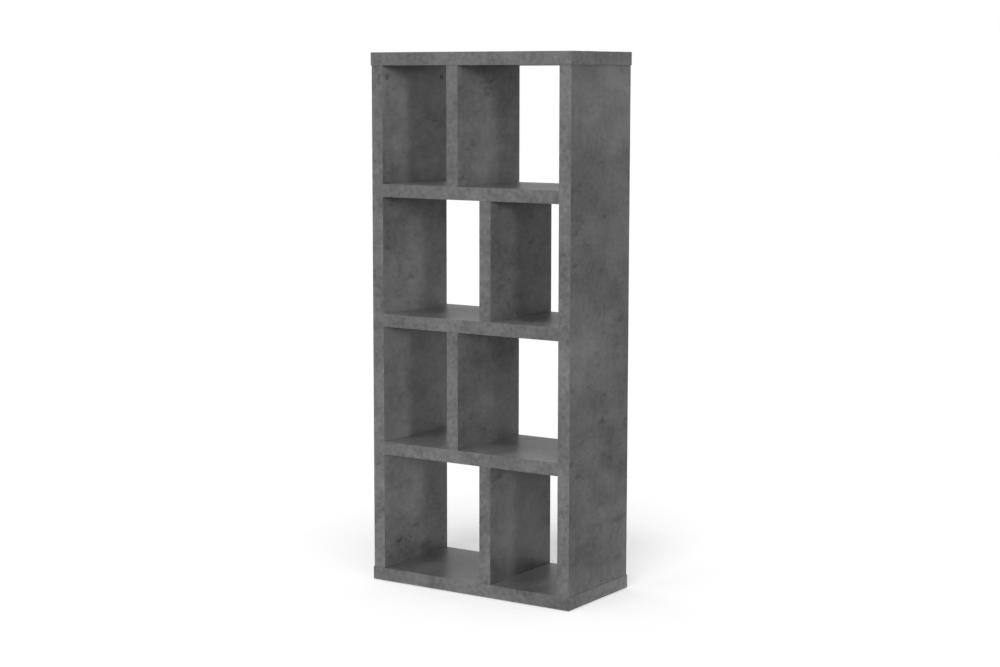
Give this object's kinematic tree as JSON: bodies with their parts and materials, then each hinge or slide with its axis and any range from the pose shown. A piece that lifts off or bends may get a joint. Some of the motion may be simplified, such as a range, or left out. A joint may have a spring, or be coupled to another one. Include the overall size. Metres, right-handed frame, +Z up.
{
  "type": "cube storage unit",
  "caption": "Tall open-backed storage unit of thick concrete-look boards, with shelves and a divider in each tier set by turns left and right of the middle.",
  "frame": {"origin": "middle of the footprint at floor level", "axes": "+Z up, front faces -Y, +X to the right as seen from the front"},
  "size_m": [0.7, 0.34, 1.606],
  "materials": {
    "concrete_laminate": "matt printed laminate on fibreboard",
    "concrete_edging": "matt printed edging",
    "rail_wood": "sawn, unfinished",
    "honeycomb_paper": "unbleached paper",
    "cam_zinc": "bright die-cast zinc",
    "bolt_steel": "zinc-plated steel",
    "cap_plastic": "fine-grained moulded plastic",
    "glide_plastic": "satin moulded plastic",
    "dowel_beech": "unfinished, fluted"
  },
  "bodies": {
    "root": {"top_upper_skin": "concrete_laminate", "top_lower_skin": "concrete_laminate", "top_edging": "concrete_edging", "top_frame": "rail_wood", "top_honeycomb": "honeycomb_paper", "bottom_upper_skin": "concrete_laminate", "bottom_lower_skin": "concrete_laminate", "bottom_edging": "concrete_edging", "bottom_frame": "rail_wood", "bottom_honeycomb": "honeycomb_paper", "side_left_outer_skin": "concrete_laminate", "side_left_inner_skin": "concrete_laminate", "side_left_edging": "concrete_edging", "side_left_frame": "rail_wood", "side_left_honeycomb": "honeycomb_paper", "side_right_outer_skin": "concrete_laminate", "side_right_inner_skin": "concrete_laminate", "side_right_edging": "concrete_edging", "side_right_frame": "rail_wood", "side_right_honeycomb": "honeycomb_paper", "shelf_lower_upper_skin": "concrete_laminate", "shelf_lower_lower_skin": "concrete_laminate", "shelf_lower_edging": "concrete_edging", "shelf_lower_frame": "rail_wood", "shelf_lower_honeycomb": "honeycomb_paper", "shelf_middle_upper_skin": "concrete_laminate", "shelf_middle_lower_skin": "concrete_laminate", "shelf_middle_edging": "concrete_edging", "shelf_middle_frame": "rail_wood", "shelf_middle_honeycomb": "honeycomb_paper", "shelf_upper_upper_skin": "concrete_laminate", "shelf_upper_lower_skin": "concrete_laminate", "shelf_upper_edging": "concrete_edging", "shelf_upper_frame": "rail_wood", "shelf_upper_honeycomb": "honeycomb_paper", "divider_1_skins": "concrete_laminate", "divider_1_edging": "concrete_edging", "divider_1_frame": "rail_wood", "divider_1_honeycomb": "honeycomb_paper", "divider_2_skins": "concrete_laminate", "divider_2_edging": "concrete_edging", "divider_2_frame": "rail_wood", "divider_2_honeycomb": "honeycomb_paper", "divider_3_skins": "concrete_laminate", "divider_3_edging": "concrete_edging", "divider_3_frame": "rail_wood", "divider_3_honeycomb": "honeycomb_paper", "divider_4_skins": "concrete_laminate", "divider_4_edging": "concrete_edging", "divider_4_frame": "rail_wood", "divider_4_honeycomb": "honeycomb_paper", "side_cams": "cam_zinc", "side_cam_bolts": "bolt_steel", "side_cam_caps": "cap_plastic", "shelf_cams": "cam_zinc", "shelf_cam_bolts": "bolt_steel", "shelf_cam_caps": "cap_plastic", "dowels": "dowel_beech", "floor_glides": "glide_plastic", "glide_nails": "bolt_steel"}
  },
  "joints": []
}
